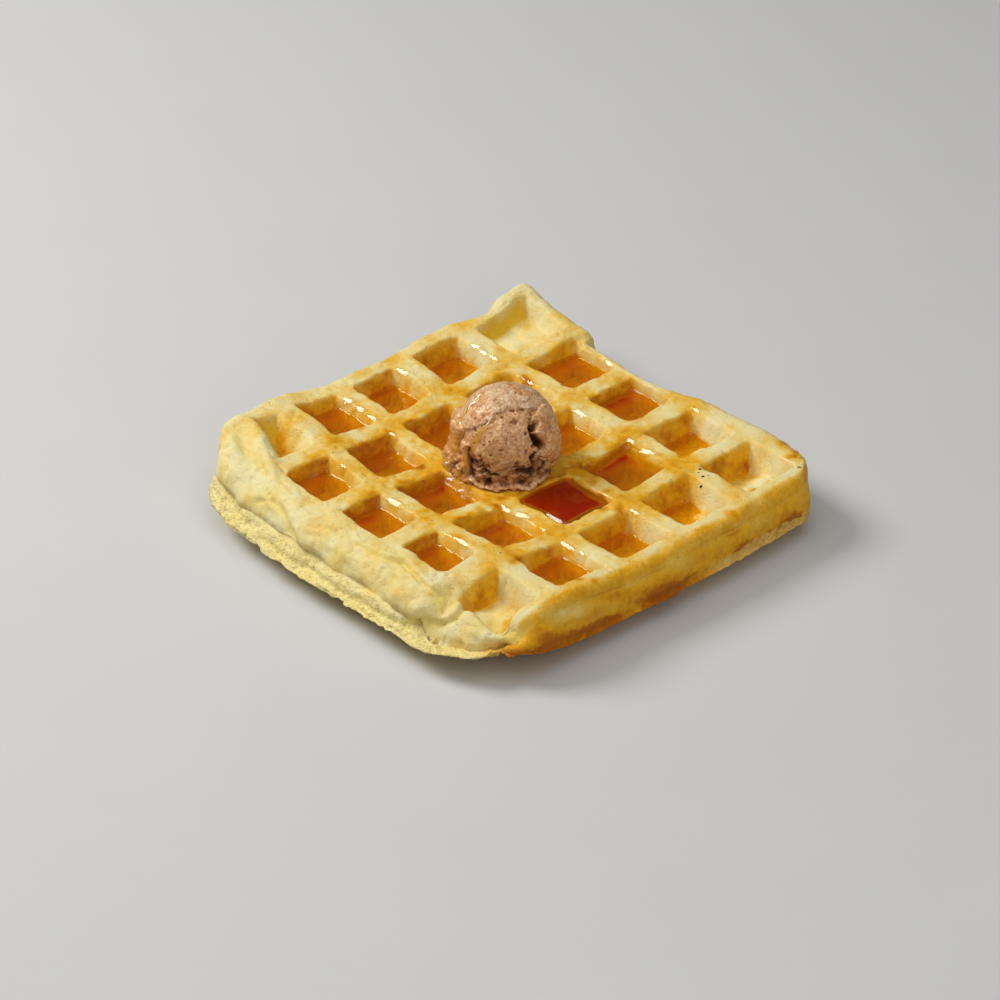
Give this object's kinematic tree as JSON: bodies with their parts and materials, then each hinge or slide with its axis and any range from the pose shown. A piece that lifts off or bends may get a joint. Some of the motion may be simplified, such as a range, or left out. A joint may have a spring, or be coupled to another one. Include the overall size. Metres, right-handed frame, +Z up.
{
  "type": "waffle",
  "caption": "Square deep-pocketed waffle with a rolled batter edge, a round scoop of spiced butter on its middle and amber syrup standing in the pockets.",
  "frame": {"origin": "under the middle of the waffle's outline, on the surface it lies on", "axes": "+Z up; +X towards the rim of row E and +Y towards the rim of column 5, so the rolled overflow edge faces -Y"},
  "size_m": [0.1532, 0.157, 0.0466],
  "materials": {
    "baked_batter": null,
    "spiced_butter": null,
    "maple_syrup": null
  },
  "bodies": {
    "root": {"waffle": "baked_batter", "butter_scoop": "spiced_butter", "syrup_pool_A2": "maple_syrup", "syrup_pool_A3": "maple_syrup", "syrup_pool_A4": "maple_syrup", "syrup_pool_B1": "maple_syrup", "syrup_pool_B2": "maple_syrup", "syrup_pool_B3": "maple_syrup", "syrup_pool_B4": "maple_syrup", "syrup_pool_B5": "maple_syrup", "syrup_pool_C1": "maple_syrup", "syrup_pool_C2": "maple_syrup", "syrup_pool_C4": "maple_syrup", "syrup_pool_C5": "maple_syrup", "syrup_pool_D1": "maple_syrup", "syrup_pool_D2": "maple_syrup", "syrup_pool_D3": "maple_syrup", "syrup_pool_D4": "maple_syrup", "syrup_pool_D5": "maple_syrup", "syrup_pool_E2": "maple_syrup", "syrup_pool_E3": "maple_syrup", "syrup_pool_E4": "maple_syrup"}
  },
  "joints": []
}
